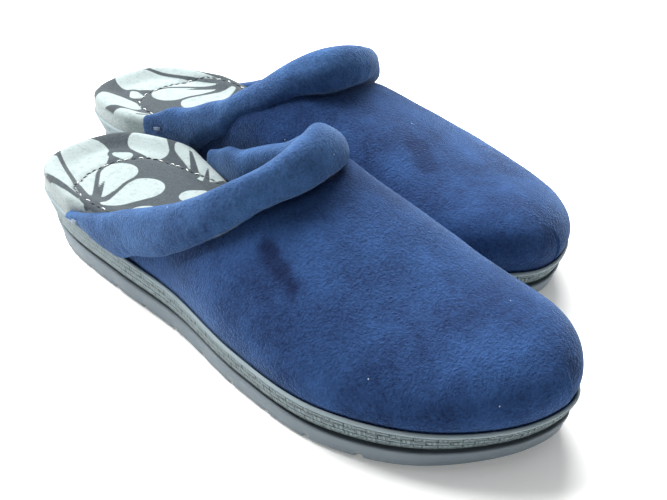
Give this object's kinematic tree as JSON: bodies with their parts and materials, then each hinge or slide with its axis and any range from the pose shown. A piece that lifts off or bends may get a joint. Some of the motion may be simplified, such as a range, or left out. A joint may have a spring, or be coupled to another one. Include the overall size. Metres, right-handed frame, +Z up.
{
  "type": "spa slippers",
  "caption": "Closed-toe backless spa slippers with a domed velour upper, a thick padded collar, a felt-covered footbed and a moulded grooved sole.",
  "frame": {"origin": "bottom centre of the bounding box of the two slippers standing side by side", "axes": "+X towards the toes, +Y towards the left slipper, +Z up"},
  "size_m": [0.313, 0.1736, 0.0776],
  "materials": {
    "outsole_rubber": "matte blue-grey thermoplastic rubber, smooth side wall, darker at the toe",
    "midsole_eva": "satin pale grey-green moulded EVA with a basket-weave side wall",
    "insole_board": "plain tan cellulose insole board, hidden",
    "foam": "open-cell cushioning foam, hidden",
    "printed_felt": "pressed wool-look felt, pale grey printed with charcoal leaves and petals",
    "dark_thread": "matte dark sewing thread",
    "velour": "navy cotton velour with a short soft nap",
    "toe_puff_film": "white heat-set toe stiffener film, hidden",
    "lining_knit": "navy brushed knit lining",
    "pale_thread": "matte off-white sewing thread"
  },
  "bodies": {
    "right_slipper": {"right_outsole": "outsole_rubber", "right_midsole": "midsole_eva", "right_insole_board": "insole_board", "right_footbed_foam": "foam", "right_footbed_cover": "printed_felt", "right_footbed_stitching": "dark_thread", "right_vamp": "velour", "right_vamp_padding": "foam", "right_toe_puff": "toe_puff_film", "right_vamp_lining": "lining_knit", "right_collar_cover": "velour", "right_collar_foam": "foam", "right_collar_seam_stitching": "dark_thread", "right_collar_bartack_outer": "pale_thread", "right_collar_bartack_inner": "pale_thread"},
    "left_slipper": {"left_outsole": "outsole_rubber", "left_midsole": "midsole_eva", "left_insole_board": "insole_board", "left_footbed_foam": "foam", "left_footbed_cover": "printed_felt", "left_footbed_stitching": "dark_thread", "left_vamp": "velour", "left_vamp_padding": "foam", "left_toe_puff": "toe_puff_film", "left_vamp_lining": "lining_knit", "left_collar_cover": "velour", "left_collar_foam": "foam", "left_collar_seam_stitching": "dark_thread", "left_collar_bartack_outer": "pale_thread", "left_collar_bartack_inner": "pale_thread"}
  },
  "joints": [
    {"name": "left_slipper_lift", "type": "slide", "parent": "right_slipper", "child": "left_slipper", "axis": [0, 0, 1], "range_m": [0, 0.25]}
  ]
}
